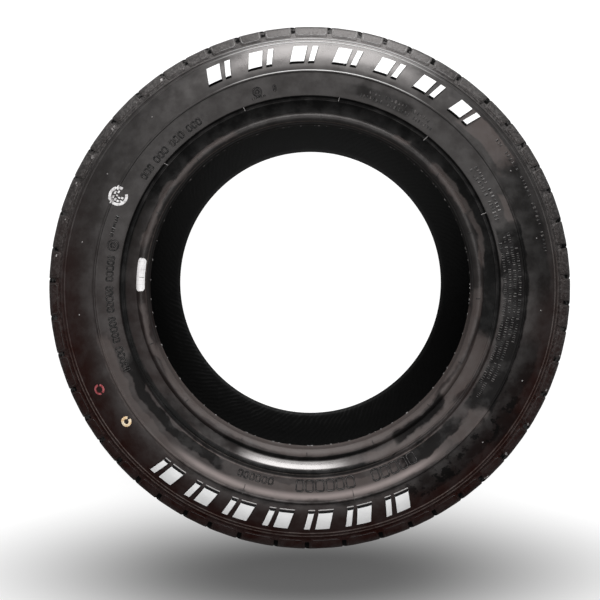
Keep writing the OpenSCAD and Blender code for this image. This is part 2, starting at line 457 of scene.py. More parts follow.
def tyre_rubber(materials):
    """The whole moulded casing as one closed skin.

    Slot 0 is outside, 1 on the inner liner and the back toe, and 2, the painted slot shade, in the slots of
    the shoulders.
    """
    half = rib_rows(0, INNER_GROOVE_Z - GROOVE_W / 2, MIDDLE_NOTCH_Z)
    half += groove_rows(INNER_GROOVE_Z)
    half += rib_rows(INNER_GROOVE_Z + GROOVE_W / 2, OUTER_GROOVE_Z - GROOVE_W / 2, SIDE_NOTCH_Z)
    half += groove_rows(OUTER_GROOVE_Z)
    half += shoulder_rows()
    rings = []
    for row in [row.mirrored() for row in reversed(half[1:])] + half:
        points = row.ring()
        slots = [0] * (len(points) // len(CELLS))
        # Slots that take the painted slot shade
        if row.dark:
            slots[:3] = [2] * 3
        rings.append((points, slots))
    back_side = [(r, -z) for r, z in reversed(SIDEWALL_POINTS)]
    back_liner = [(r, -z) for r, z in reversed(LINER_POINTS)]
    for outline, columns, slot in (
        (SIDEWALL_POINTS, FRONT_COLUMNS, 0),
        (LINER_POINTS, LINER_COLUMNS, 1),
        (back_liner, LINER_COLUMNS, 1),
        (back_side[:TOE_POINTS], BACK_COLUMNS, 1),
        (back_side[TOE_POINTS:], BACK_COLUMNS, 0),
    ):
        rings += [(ring, [slot]) for ring in ring_of(outline, columns)]
    shape = Shape()
    starts = []
    for ring, _ in rings:
        starts.append(len(shape.points))
        shape.add(ring, [])
    for i, (ring, slots) in enumerate(rings):
        k = (i + 1) % len(rings)
        faces = join_rings(ring, rings[k][0], starts[i], starts[k])
        shape.faces.extend(faces)
        shape.slots.extend(slots[j % len(slots)] for j in range(len(faces)))
    return shape.piece("tyre_rubber", materials)


# Edge between a pad's flanks and its top, as shares of the way from its base to its top and of its lift
PAD_EDGE_SHARE = 0.75
PAD_EDGE_RISE = 0.85


def pad(shape, top, base, lift, slots=(0, 0), sink=0.25, inner_rim=False):
    """A raised pad on the front sidewall, from grids of (radius, angle) for its top and its base.

    The slots are the materials of the top and of the flanks. With an inner rim, the first row of the top has
    the flanks' material, as painted shade along that edge.
    """
    rows, columns = top.shape[:2]
    loop = [(i, 0) for i in range(rows)]
    loop += [(rows - 1, j) for j in range(1, columns)]
    loop += [(i, columns - 1) for i in range(rows - 2, -1, -1)]
    loop += [(0, j) for j in range(columns - 2, 0, -1)]
    n = len(loop)

    def places(cells, rise):
        return [round_place(r, a, wall_z(r) + rise) for r, a in cells]

    def cell(i, j, first):
        return first + i * columns + j

    total = rows * columns
    edge = [PAD_EDGE_SHARE * top[spot] + (1 - PAD_EDGE_SHARE) * base[spot] for spot in loop]
    points = places(top.reshape(-1, 2), lift)
    points += places(base.reshape(-1, 2), -sink)
    points += places(edge, PAD_EDGE_RISE * lift)
    tops = []
    bottoms = []
    for i in range(rows - 1):
        for j in range(columns - 1):
            corners = ((i, j), (i + 1, j), (i + 1, j + 1), (i, j + 1))
            tops.append(tuple(cell(a, b, 0) for a, b in corners))
            bottoms.append(tuple(cell(a, b, total) for a, b in reversed(corners)))
    crest = []
    flank = []
    for k in range(n):
        here, there = loop[k], loop[(k + 1) % n]
        ring_here = 2 * total + k
        ring_there = 2 * total + (k + 1) % n
        crest.append((ring_here, ring_there, cell(*there, 0), cell(*here, 0)))
        flank.append((cell(*here, total), cell(*there, total), ring_there, ring_here))
    start = len(shape.faces)
    shape.add(points, tops + crest + flank + bottoms)
    dull = len(flank) + len(bottoms)
    shape.slots[start:] = [slots[0]] * (len(tops) + len(crest)) + [slots[1]] * dull
    # The inner rim takes the flanks' dark material as painted shade
    if inner_rim:
        rim = [slots[1]] * (columns - 1)
        shape.slots[start:start + columns - 1] = rim
        crest_start = start + len(tops)
        shape.slots[crest_start + n - columns + 1:crest_start + n] = rim


def block_grid(middle_a, radii, low_y, high_y, columns):
    """Grid of (radius, angle) between two side lines, which are given as distances from a radius."""
    grid = np.zeros((len(radii), columns, 2))
    for i, r in enumerate(radii):
        for j, y in enumerate(np.linspace(low_y(r), high_y(r), columns)):
            grid[i, j] = (r, middle_a + math.asin(y / r))
    return grid


# White bars, as on the solids, with the rows and columns of a bar's face
BARS_OUTER_R = WALL_TOP[0] - 3
BARS_INNER_R = BARS_OUTER_R - 19.5
BARS_T = 1.8
BAR_PAIRS = 7
WIDE_BAR_W = 15
NARROW_BAR_W = 6.5
BAR_GAP = 4
BAR_LEAN = math.tan(math.radians(14))
BAR_FLANKS = {"inner": 1.3, "outer": 0.4, "side": 0.55}
BAR_RIM_W = 0.8
BAR_ROWS = 8
BAR_COLUMNS = 5

# The arcs of bars: middle and span in degrees
UPPER_ARC = (80.8, 71.5)
LOWER_ARC = (-97.8, 65.5)

# Thin line under a bar: distance from the bar, width and height
FOOT_LINE = {"gap": 0.6, "w": 1.6, "h": 0.3}


def bar(shape, middle_a, w):
    """One slanted bar with a white face, and black flanks and a black rim along the face's inner edge,
    darkened as painted shade.
    """
    middle_r = (BARS_INNER_R + BARS_OUTER_R) / 2

    def side(sign, inset):
        return lambda r: sign * (w / 2 - inset) - (r - middle_r) * BAR_LEAN

    def grid(inner, outer, inset):
        radii = np.linspace(BARS_INNER_R + inner, BARS_OUTER_R - outer, BAR_ROWS)
        if inner:
            radii[1] = radii[0] + BAR_RIM_W
        return block_grid(middle_a, radii, side(-1, inset), side(1, inset), BAR_COLUMNS)

    top = grid(BAR_FLANKS["inner"], BAR_FLANKS["outer"], BAR_FLANKS["side"])
    pad(shape, top, grid(0, 0, 0), BARS_T, slots=(0, 1), inner_rim=True)


def foot_line(shape, middle_a, w):
    """A thin raised line under the inner end of a bar."""
    r = BARS_INNER_R - FOOT_LINE["gap"]
    middle = middle_a + (BARS_OUTER_R - BARS_INNER_R) / 2 * BAR_LEAN / r
    frames = [wall_frame(r, middle + share * w / r) for share in (-0.5, 0, 0.5)]
    strip(shape, frames, FOOT_LINE["w"], FOOT_LINE["h"], slot=2)


def white_bars(name, middle_deg, span_deg, materials, foot_lines=False):
    """An arc of bars in pairs."""
    shape = Shape()
    radians_per_mm = 2 / (BARS_INNER_R + BARS_OUTER_R)
    pair_w = WIDE_BAR_W + BAR_GAP + NARROW_BAR_W
    step = (math.radians(span_deg) - pair_w * radians_per_mm) / (BAR_PAIRS - 1)
    for i in range(BAR_PAIRS):
        middle_a = math.radians(middle_deg) + (i - (BAR_PAIRS - 1) / 2) * step
        for side, w in ((1, WIDE_BAR_W), (-1, NARROW_BAR_W)):
            a = middle_a + side * (pair_w - w) / 2 * radians_per_mm
            bar(shape, a, w)
            if foot_lines:
                foot_line(shape, a, w)
    return shape.piece(name, materials)


def wall_frame(r, angle):
    """A point of the front sidewall in millimetres and the direction out of it."""
    slope = wall_z(r + 0.5) - wall_z(r - 0.5)
    out = np.array((-slope * math.cos(angle), -slope * math.sin(angle), 1.0))
    return np.array(round_place(r, angle, wall_z(r))), out / np.linalg.norm(out)


def shoulder_frame(t, angle, side=1):
    """A point of the shoulder blocks and the direction out of it, at the front (1) or the back (-1)."""
    r, z = shoulder_point(t)
    out_r, out_z = shoulder_normal(t)
    point = np.array(round_place(r, angle, side * z))
    return point, np.array((out_r * math.cos(angle), out_r * math.sin(angle), side * out_z))


# Half of the share of a strip's width that its flat crest takes
CREST = 0.14


def strip(shape, frames, w, height, closed=False, slot=0, sink=0.2):
    """A low raised line over places that are given with the direction out of the rubber."""
    n = len(frames)
    points = []
    for i, (place, out) in enumerate(frames):
        before = frames[i - 1][0] if closed or i > 0 else place
        after = frames[(i + 1) % n][0] if closed or i < n - 1 else place
        way = (after - before) / np.linalg.norm(after - before)
        side = np.cross(out, way)
        for across, rise in ((-0.5, -sink), (-CREST, height), (CREST, height), (0.5, -sink)):
            points.append(tuple(place + across * w * side + rise * out))
    faces = []
    for i in range(n if closed else n - 1):
        a, b = 4 * i, 4 * ((i + 1) % n)
        for k in range(4):
            m = (k + 1) % 4
            faces.append((a + k, b + k, b + m, a + m))
    if not closed:
        last = 4 * (n - 1)
        faces += [(0, 1, 2, 3), (last + 3, last + 2, last + 1, last)]
    shape.add(points, faces, slot)


def wall_line(shape, middle_r, middle_a, outline, w, height, closed=False, slot=0):
    """A raised line on the front sidewall. Its places are (along, outward) in millimetres from a middle."""
    frames = [wall_frame(middle_r + v, middle_a + u / middle_r) for u, v in outline]
    strip(shape, frames, w, height, closed, slot)


def round_outline(radius, start_deg=0.0, end_deg=360.0, steps=24):
    """Places on a circle, or on an arc of it."""
    turns = [math.radians(start_deg + (end_deg - start_deg) * i / steps) for i in range(steps + 1)]
    return [(radius * math.cos(t), radius * math.sin(t)) for t in turns]


def box_outline(w, h, corner):
    """Places on a rectangle with cut corners."""
    x, y, c = w / 2, h / 2, corner
    lower = [(-x + c, -y), (x - c, -y), (x, -y + c)]
    upper = [(x, y - c), (x - c, y), (-x + c, y)]
    return lower + upper + [(-x, y - c), (-x, -y + c)]


# Heights of moulded marks, of the painted shade round them and of paint, and how much wider than a mark its
# painted shade is
MARK_H = 0.5
SHADE_H = 0.12
PAINT_T = 0.12
DASH_SHADE = 2.2
LINE_SHADE = 2

# How the dashes of a row follow each other: their lengths, the gaps and how many stand in a group
COARSE = ((1.2, 3.2), (0.9, 1.6), 7)
FINE = ((0.7, 1.8), (0.7, 1.3), 9)
LOOSE = ((1.2, 2.8), (1.2, 2.2), 6)
TINY = ((1.0, 2.2), (0.8, 1.2), 20)

# Rows of dashes: radius, start and end in degrees, height of a dash and how they follow each other
DASH_ROWS = (
    (196.2, 52, 76, 3.2, COARSE),
    (201.8, 54, 73, 3.2, COARSE),
    (197.0, 19, 36, 3.4, COARSE),
    (202.2, 21, 35, 3.0, COARSE),
    (193.6, -30, 12, 2.6, FINE),
    (198.4, -34, 14, 2.6, FINE),
    (203.2, -28, 15, 2.6, FINE),
    (208.0, -16, 10, 2.6, FINE),
    (237.2, 8, 38, 3.2, LOOSE),
)
# Rows of dashes with a border of painted shade
SHADED_DASH_ROWS = (
    (203, -199.7, -193.5, 3.0, TINY),
    (194.5, -256.5, -252.5, 2.0, TINY),
)
# Rows of hollow blocks: radius, start and end in degrees, height, lengths, gap, size of a group, line width
HOLLOW_ROWS = (
    (197.2, -94, -77, 10.5, (6.5, 8), 2.6, 20, 1.1),
    (197.2, -72, -60, 10.5, (6.5, 8), 2.6, 20, 1.1),
    (196.5, -111, -101, 5.5, (3.5, 5), 2.2, 20, 0.9),
    (199.0, -188, -155, 6.0, (2.4, 4.4), 1.9, 5, 0.8),
    (197.5, -236, -211, 6.0, (2.4, 4.2), 2.1, 3, 0.9),
)
# Rings one in the other: radius and angle of their middle, and their own radii
RING_MARKS = ((199.5, -191.3, (5.2, 2.2)), (200, -254.5, (4.2, 1.8)))
# Line of the small marks, and the angles of two lines that run across the sidewall
THIN_LINE_W = 0.8
CROSS_LINES = (-78.4, -108.1)


def row_places(r, start_deg, end_deg, next_length, next_gap, group, pause):
    """Middle angle in radians and length of each mark of a row, with a pause after each group."""
    a, end = math.radians(start_deg), math.radians(end_deg)
    count = 0
    while a < end:
        length = next_length()
        yield a + length / 2 / r, length
        a += (length + next_gap()) / r
        count += 1
        if count % group == 0:
            a += pause / r


def dash_row(shape, rng, r, start_deg, end_deg, h, spread, shaded=False):
    """A row of low blocks round the sidewall. About a third of them start further out."""
    lengths, gaps, group = spread
    next_length, next_gap = (lambda: rng.uniform(*lengths)), (lambda: rng.uniform(*gaps))
    for middle, length in row_places(r, start_deg, end_deg, next_length, next_gap, group, 2.5 * gaps[1]):
        low = rng.choice((0, 0, 0.22)) * h
        frames = [wall_frame(r + v, middle) for v in (-h / 2 + low, h / 2)]
        # A border of painted shade round the dash
        if shaded:
            strip(shape, frames, length + DASH_SHADE, SHADE_H, slot=1)
        strip(shape, frames, length, MARK_H)


def hollow_mark(shape, r, middle_a, outline, line_w):
    """A closed raised line with a border of painted shade."""
    wall_line(shape, r, middle_a, outline, line_w + LINE_SHADE, SHADE_H, True, slot=1)
    wall_line(shape, r, middle_a, outline, line_w, MARK_H, True)


def hollow_row(shape, rng, r, start_deg, end_deg, h, lengths, gap, group, line_w):
    """A row of hollow blocks round the sidewall."""
    places = row_places(r, start_deg, end_deg, lambda: rng.uniform(*lengths), lambda: gap, group, 2.2 * gap)
    for middle, length in places:
        hollow_mark(shape, r, middle, box_outline(length, h, 0.18 * length), line_w)


def moulded_marks(materials):
    """Plain raised blocks and rings on the front sidewall, where such tyres carry their markings."""
    rng = random.Random(5)
    shape = Shape()
    for row in DASH_ROWS:
        dash_row(shape, rng, *row)
    for row in HOLLOW_ROWS:
        hollow_row(shape, rng, *row)
    for row in SHADED_DASH_ROWS:
        dash_row(shape, rng, *row, shaded=True)
    for r, deg, radii in RING_MARKS:
        for radius in radii:
            hollow_mark(shape, r, math.radians(deg), round_outline(radius)[:-1], THIN_LINE_W)
    hollow_mark(shape, 200, math.radians(-259.6), box_outline(2, 5, 0.4), THIN_LINE_W)
    for deg in CROSS_LINES:
        wall_line(shape, 210, math.radians(deg), [(0, -4.5), (0, 4.5)], THIN_LINE_W, MARK_H)
    return shape.piece("moulded_marks", materials, sharp_deg=20)


# Line round a shoulder block: its points' shares of the way down the shoulder, and its sizes
OUTLINE_TS = (0.3, 0.5, 0.7)
OUTLINE_FOOT_T = 0.93
OUTLINE_CORNER_T = 0.12
OUTLINE_CORNER_W = 2.6
OUTLINE_INSET = 1.5
OUTLINE_W = 1.1
OUTLINE_H = 0.3


def block_outlines(materials):
    """The thin raised line round the free edges of every shoulder block."""
    shape = Shape()
    r = BLOCK_END[0]
    inset = (SIDE_SLOT_W / 2 + OUTLINE_INSET) / r
    bend = OUTLINE_CORNER_W / r
    foot = OUTLINE_FOOT_T
    flank = [(t, 0) for t in OUTLINE_TS] + [(foot - OUTLINE_CORNER_T, 0)]
    flank += [(foot - 0.3 * OUTLINE_CORNER_T, 0.3 * bend), (foot, bend)]
    for side in (1, -1):
        for start, end in CELLS:
            low, high = start + inset, end - inset
            places = [(t, low + along) for t, along in flank]
            places += [(foot, low + (high - low) * i / 6) for i in range(1, 6)]
            places += [(t, high - along) for t, along in reversed(flank)]
            strip(shape, [shoulder_frame(t, a, side) for t, a in places], OUTLINE_W, OUTLINE_H)
    return shape.piece("block_outlines", materials, sharp_deg=20)


# Where corners of shoulder blocks are scuffed: between two angles, and how far down the shoulder
SPECK_ARCS = ((-240, -183, 0.9), (-50, -14, 0.62))
SPECK_H = 0.45


def slot_specks(materials):
    """Pale scuffed corners of the shoulder blocks, where the photograph shows them."""
    rng = random.Random(3)
    shape = Shape()
    r = BLOCK_END[0]
    for low_deg, high_deg, t in SPECK_ARCS:
        for start, _ in CELLS:
            a = start + SIDE_SLOT_W / 2 / r
            turned = (math.degrees(a) + 360) % 360 - 360
            if not low_deg < turned < high_deg:
                continue
            for _ in range(rng.choice((0, 1, 1, 2, 2))):
                middle = a + rng.uniform(-0.5, 3.5) / r
                length = rng.uniform(0.8, 2.4) / r
                height = t + rng.uniform(-0.16, 0.05)
                lean = rng.uniform(-0.05, 0.05)
                frames = [shoulder_frame(height, middle), shoulder_frame(height + lean, middle + length)]
                strip(shape, frames, rng.uniform(1.4, 3.6), SPECK_H)
    return shape.piece("slot_specks", materials)


# Stubs of the vents: radius and angles of their middles, length, width and height
NUB_R = 230.4
NUB_ANGLES = [47.6 - 18 * i for i in range(6)] + [187.4 - 18 * i for i in range(4)]
NUB_SIZE = (1.2, 1.5, 0.6)


def vent_nubs(materials):
    """Cut stubs of the vents round the sidewall."""
    shape = Shape()
    length, w, height = NUB_SIZE
    for deg in NUB_ANGLES:
        place, out = wall_frame(NUB_R, math.radians(deg))
        along = np.cross(out, (0, 0, 1))
        along = along / np.linalg.norm(along)
        frames = [(place + sign * length / 2 * along, out) for sign in (-1, 1)]
        strip(shape, frames, w, height)
    return shape.piece("vent_nubs", materials)


# Whiskers: angles, width, thickness and how far their tips rise
HAIR_ANGLES = (140.4, 110.8, 81.2, 51.6, 22.2)
HAIR_W = 0.65
HAIR_T = 0.4
HAIR_RISE = 0.6


def lip_hairs(materials):
    """Thin rubber whiskers that the vents left under the rim lip, pointing inwards."""
    rng = random.Random(8)
    shape = Shape()
    up = np.array((0, 0, 1.0))
    for deg in HAIR_ANGLES:
        angle = math.radians(deg)
        start = np.array(round_place(LIP[0] + 0.2, angle, LIP[1] - 0.4))
        length = rng.uniform(4, 6.5)
        lean = rng.uniform(-0.25, 0.25)
        inward = -np.array((math.cos(angle + lean), math.sin(angle + lean), 0))
        frames = [(start + length * t * inward + HAIR_RISE * t * t * up, up) for t in (0, 0.5, 1)]
        strip(shape, frames, HAIR_W, HAIR_T, sink=0.3)
    return shape.piece("lip_hairs", materials)


# Ribs across the bead: angles clockwise, radii, width and height
TICK_ANGLES = [45.6 + 22.8 * i for i in range(16)]
TICK_RADII = (167.5, 169.5, 171.5)
TICK_W = 0.9
TICK_H = 0.5


def bead_ticks(materials):
    """Short ribs across the front bead, left by the vents of the mould."""
    shape = Shape()
    for deg in TICK_ANGLES:
        strip(shape, [wall_frame(r, -math.radians(deg)) for r in TICK_RADII], TICK_W, TICK_H)
    return shape.piece("bead_ticks", materials)


def toe_flash(materials):
    """Specks of rubber along the edge of the front toe."""
    rng = random.Random(11)
    shape = Shape()
    angle = 0.0
    while angle < TURN:
        place = np.array(round_place(TOE[0] + 0.25, angle, TOE[1] + 0.5))
        inward = -np.array((math.cos(angle), math.sin(angle), 0.0))
        along = np.array((-math.sin(angle), math.cos(angle), 0.0))
        half = rng.uniform(0.3, 1.3)
        frames = [(place - half * along, inward), (place + half * along, inward)]
        strip(shape, frames, rng.uniform(0.7, 1.2), rng.uniform(0.25, 0.7))
        angle += rng.uniform(3, 22) / TOE[0]
    return shape.piece("toe_flash", materials)


# Painted rings: radius and angle of their middle, their own radius, line width and arcs
RED_RING = (232.4, -153.6, 4.4, 3.8, ((0, 188), (212, 334)))
YELLOW_RING = (225.2, -143.4, 3.9, 4.8, ((-94, 234),))


def broken_ring(name, r, deg, radius, w, arcs, material):
    """A painted ring with gaps on the front sidewall."""
    shape = Shape()
    for start, end in arcs:
        outline = round_outline(radius, start, end, 14)
        wall_line(shape, r, math.radians(deg), outline, w, PAINT_T)
    return shape.piece(name, [material])


# Ink stamp: radius and angle of its middle, own radius and arc of its ring, and line widths
STAMP_PLACE = (210.2, -204.7)
STAMP_RING = (8.3, -127, 186)
STAMP_RING_W = 5.0
STAMP_DASH_W = 4.3
# Its dashes, as distance outward from its middle and the places where they start and end along it
STAMP_DASHES = (
    (4.6, -3.6, -0.6),
    (4.6, 1.0, 4.0),
    (1.5, -5.4, -2.8),
    (1.5, -1.0, 0.6),
    (1.5, 2.6, 5.4),
    (-1.6, 0.4, 1.8),
    (-1.6, 3.6, 5.6),
    (-4.6, -0.8, 1.2),
    (-4.6, 2.8, 4.4),
)


def white_stamp(material):
    """A round ink stamp with a notch: an open ring with dashes inside."""
    shape = Shape()
    r, middle = STAMP_PLACE[0], math.radians(STAMP_PLACE[1])
    wall_line(shape, r, middle, round_outline(*STAMP_RING, steps=60), STAMP_RING_W, PAINT_T)
    for v, low, high in STAMP_DASHES:
        wall_line(shape, r, middle, [(low, v), ((low + high) / 2, v), (high, v)], STAMP_DASH_W, PAINT_T)
    return shape.piece("white_stamp", [material])


# Sticker: length, height, thickness, corner radius and the angle of its middle
LABEL_W = 34
LABEL_H = 8.4
LABEL_T = 0.3
LABEL_CORNER = 1.6
LABEL_A = 176.7


def paper_label(material):
    """The blank sticker on the bead, with round corners."""
    outer = VALLEY[0] - 0.3
    inner = outer - LABEL_H
    half = LABEL_W / outer / 2
    rows, columns = 7, 15
    grid = np.zeros((rows, columns, 2))
    for j in range(columns):
        along = -half + 2 * half * j / (columns - 1)
        to_corner = max(0.0, LABEL_CORNER - (half - abs(along)) * outer)
        cut = LABEL_CORNER - math.sqrt(LABEL_CORNER ** 2 - to_corner ** 2)
        for i in range(rows):
            share = i / (rows - 1)
            r = inner + cut + share * (outer - inner - 2 * cut)
            grid[i, j] = (r, math.radians(LABEL_A) + along)
    shape = Shape()
    pad(shape, grid, grid, LABEL_T)
    return shape.piece("paper_label", [material])


# Light levels: 1 is white
WORLD_LIGHT = 0.15
FLOOR_GLOW = 0.85
FLOOR_TONE = 0.3
# Half of the floor's width, and the radii between which the painted light ends that makes the floor fully
# white in the tyre's opening, over the tyre's shade
FLOOR_HALF = 6000
PAINTED_LIGHT_OPENING_RADII = (190, 215)
# A painted shadow below the tyre, where the floor's glow is taken away, in metres: its middle, and its reach
# across and down
PAINTED_SHADOW_MIDDLE_Y = -0.37
PAINTED_SHADOW_REACH = (0.43, 0.085)


class Nodes:
    """A short way to write the nodes of a material or the world."""

    def __init__(self, owner):
        owner.use_nodes = True
        self.owner = owner
        self.tree = owner.node_tree
        self.tree.nodes.clear()

    def node(self, kind, feeds=None, **settings):
        made = self.tree.nodes.new("ShaderNode" + kind)
        for name, value in settings.items():
            setattr(made, name, value)
        for socket, value in (feeds or {}).items():
            if isinstance(value, bpy.types.NodeSocket):
                self.tree.links.new(value, made.inputs[socket])
            else:
                made.inputs[socket].default_value = value
        return made

    def math(self, operation, a, b=0.0, c=0.0):
        return self.node("Math", {0: a, 1: b, 2: c}, operation=operation).outputs[0]

    def times(self, a, b):
        return self.math("MULTIPLY", a, b)

    def mix(self, share, a, b):
        feeds = {0: share, 6: a, 7: b}
        return self.node("Mix", feeds, data_type="RGBA").outputs[2]

    def ramp(self, value, low, high, to_low=0.0, to_high=1.0):
        feeds = {"Value": value, "From Min": low, "From Max": high, "To Min": to_low, "To Max": to_high}
        return self.node("MapRange", feeds, interpolation_type="SMOOTHSTEP").outputs[0]

    def noise(self, vector, scale, detail, roughness=0.5):
        feeds = {"Vector": vector, "Scale": scale, "Detail": detail, "Roughness": roughness}
        return self.node("TexNoise", feeds).outputs["Fac"]

    def polar(self, place):
        """Radius in millimetres and angle in radians of a place."""
        x, y, _ = self.node("SeparateXYZ", {0: place}).outputs
        squares = self.math("MULTIPLY_ADD", y, y, self.times(x, x))
        return self.math("DIVIDE", self.math("SQRT", squares), MM), self.math("ARCTAN2", y, x)

    def arc(self, angle, middle_deg, half_deg, soft_deg):
        """1 inside an arc about the axis and 0 outside it, with a soft border."""
        turned = self.math("COSINE", self.math("SUBTRACT", angle, math.radians(middle_deg)))
        low = math.cos(math.radians(min(180, half_deg + soft_deg)))
        high = math.cos(math.radians(max(0, half_deg - soft_deg)))
        return self.ramp(turned, low, high)

    def band(self, value, low, high, soft):
        """1 between low and high and 0 outside, with a soft border."""
        rise = self.ramp(value, low - soft, low + soft)
        fall = self.ramp(value, high - soft, high + soft, 1.0, 0.0)
        return self.times(rise, fall)

    def most(self, values):
        """The greatest of some values."""
        result = values[0]
        for value in values[1:]:
            result = self.math("MAXIMUM", result, value)
        return result

    def patch(self, radius, angle, low, high, start_deg, end_deg, soft, soft_deg):
        """1 on a stretch of a ring between two radii in millimetres and two angles."""
        ring = self.band(radius, low, high, soft)
        arc = self.arc(angle, (start_deg + end_deg) / 2, (end_deg - start_deg) / 2, soft_deg)
        return self.times(ring, arc)

    def patches(self, radius, angle, stretches, soft=1.0, soft_deg=1.5):
        """1 on any of some stretches."""
        return self.most([self.patch(radius, angle, *stretch, soft, soft_deg) for stretch in stretches])

    def shifted(self, value, *steps):
        """A value moved by an amount for each mask, given as (mask, amount)."""
        for mask, amount in steps:
            value = self.math("MULTIPLY_ADD", mask, amount, value)
        return value

    def painted(self, colour, *layers):
        """A colour under layers of other colours, given as (mask, strength, colour)."""
        for mask, strength, over in layers:
            colour = self.mix(self.times(mask, strength), colour, over)
        return colour

    def shader(self, colour, rough, specular=0.5, bumps=(), **more):
        """The surface, with any number of (height, strength, distance) bumps."""
        feeds = {"Base Color": colour, "Roughness": rough, "Specular IOR Level": specular}
        feeds.update({name.replace("_", " "): value for name, value in more.items()})
        for height, strength, distance in bumps:
            bump = {"Height": height, "Strength": strength, "Distance": distance}
            if "Normal" in feeds:
                bump["Normal"] = feeds["Normal"]
            feeds["Normal"] = self.node("Bump", bump).outputs[0]
        surface = self.node("BsdfPrincipled", feeds)
        self.node("OutputMaterial", {"Surface": surface.outputs[0]})
        return self.owner


# Stretches of the front sidewall: low and high radius, start and end in degrees and, where one stands alone,
# the softness of its border in millimetres and degrees
DRESSED = (
    (192, 216, -38, 17),
    (171, 181.5, -62, -38),
    (191, 203, -62, -43),
    (191, 200, -157, -117),
)
STAINED = (
    (212.5, 217, -128, -52),
    (175.5, 184, -145, -112),
    (215, 240, -2, 31),
    (215, 236, -62, -14),
    (229, 246, -40, -33),
    (195, 206, 60, 78),
)
# Dry, greyer rubber, and on some stretches a painted sheen
DRY_AND_SHEEN = (
    (172, 185.5, -40, -18),
    (183, 188, -64, -38),
    (176, 185, -73, -58),
    (199, 213, -48, -36),
    (203, 211.5, -64, -48),
    (203, 211.5, -119, -62),
    (205, 216, -167, -116),
    (160, 169, -158, -8),
    (167, 173, -174, -156),
    (165, 173, -12, -1),
    (170, 176, -242, -192),
    (169, 179, 24, 46),
    (173.5, 178.5, 7, 24),
    (170, 176, 53, 61),
    (219, 241, 31, 49),
    (206, 213, 16, 25),
    (195.5, 203.5, -107, -66),
)
# A wet stretch and a polished one, which mirror the lamps
WET = (176.8, 183.2, -107, -84, 0.6, 8)
POLISHED = (218, 250, 64, 112, 3.0, 8)
# Where small dark blots of dressing lie
BLOTTED = (216, 238, -64, -28, 4.0, 7)
# A painted sheen: a pale band low on the sidewall. Dust with painted light: a pale patch on the shoulder at
# the top
PAINTED_SHEEN = (205, 210.5, -126, -56, 3.0, 8)
DUST_AND_PAINTED_LIGHT = (247.5, 264, 66, 96, 1.5, 10)
# Pale crests of moulded lines, partly wear and partly painted highlight: radius, half width, middle and half
# of the arc in degrees, and strength
WEAR_AND_HIGHLIGHT_LINES = (
    (249.8, 0.4, -105, 55, 0.75),
    (246.2, 0.4, -105, 55, 0.75),
    (249.8, 0.4, -20, 30, 0.35),
    (246.2, 0.4, -20, 30, 0.35),
    (247.2, 0.3, 150, 30, 0.3),
    (190.6, 0.4, -90, 38, 0.7),
    (188.2, 0.3, -98, 28, 0.5),
    (165.8, 0.3, 120, 65, 0.6),
)
# Painted highlights on edges at the top: radius and half width, and then the softness of every line's border
TOP_HIGHLIGHT_LINES = ((250, 0.5), (246.2, 0.45), (214.8, 0.4))
LINE_SOFT = 0.3
# Painted shade in the channels by the rim lip and the bead
PAINTED_CHANNEL_SHADE = (
    (175, 189.5, -20, 152),
    (184.5, 189.5, 150, 212),
    (183.6, 189.5, -152, -62),
    (171.6, 176.2, -120, -70),
)


def new_material(name):
    """The nodes of a new material, and the place in metres that they colour."""
    n = Nodes(bpy.data.materials.new(name))
    return n, n.node("TexCoord").outputs["Object"]


def grey(value, warmth=0.0):
    """A grey with a touch of red-brown, as a linear colour."""
    return (value * (1 + warmth), value, value * (1 - 0.3 * warmth), 1)


def rubber_masks(n, place, grain):
    """Where the rubber differs from plain black, by name: 1 there and 0 elsewhere."""
    radius, angle = n.polar(place)
    warp = n.math("SUBTRACT", n.noise(place, 26, 3, 0.5), 0.5)
    ragged = n.math("SUBTRACT", n.noise(place, 90, 3, 0.6), 0.5)
    wavy_radius = n.shifted(radius, (ragged, 6), (warp, 15))
    wavy_angle = n.shifted(angle, (warp, 0.2), (ragged, 0.08))
    # Dry rubber, and painted sheen on some stretches
    dry_and_sheen = n.patches(wavy_radius, wavy_angle, DRY_AND_SHEEN)
    blots = n.ramp(n.noise(place, 58, 5, 0.7), 0.52, 0.56)
    # Painted shade in the channels
    shaded_channels = n.patches(radius, wavy_angle, PAINTED_CHANNEL_SHADE, 0.7, 6)
    tread = n.band(radius, 250, 290, 1)
    dust = n.times(tread, n.ramp(grain, 0.42, 0.66, 0.0, 0.6))
    # Pale crests of lines: wear and painted highlight
    wear_and_highlight = []
    for r, half, deg, reach, share in WEAR_AND_HIGHLIGHT_LINES:
        line = n.band(radius, r - half, r + half, LINE_SOFT)
        wear_and_highlight.append(n.times(line, n.ramp(n.arc(angle, deg, reach, 15), 0, 1, 0, share)))
    # Painted highlights on edges at the top
    bright = n.most([n.band(radius, r - half, r + half, LINE_SOFT) for r, half in TOP_HIGHLIGHT_LINES])
    return SimpleNamespace(
        dry_and_sheen=dry_and_sheen,
        dressed=n.patches(wavy_radius, wavy_angle, DRESSED),
        stained=n.patches(wavy_radius, wavy_angle, STAINED, 2.0, 3),
        wet=n.patch(radius, angle, *WET),
        polished=n.patch(radius, angle, *POLISHED),
        blots=n.times(blots, n.patch(radius, angle, *BLOTTED)),
        # The pale stretch is a painted sheen; the stretch on the shoulder at the top is dust with painted
        # light
        pale=n.patch(radius, angle, *PAINTED_SHEEN),
        dust_and_painted_light=n.patch(radius, angle, *DUST_AND_PAINTED_LIGHT),
        channel=n.times(shaded_channels, n.math("MULTIPLY_ADD", dry_and_sheen, -0.8, 1.0)),
        wear_and_highlight=n.times(n.most(wear_and_highlight), n.ramp(grain, 0.35, 0.65, 0.3, 1.0)),
        bright=n.times(bright, n.arc(angle, 86, 18, 14)),
        tread=tread,
        dusty_tread=n.times(dust, n.arc(angle, 75, 110, 40)),
        brown=n.times(n.arc(angle, -97, 89, 28), n.ramp(radius, 215, 250, 0.25, 1.0)),
    )


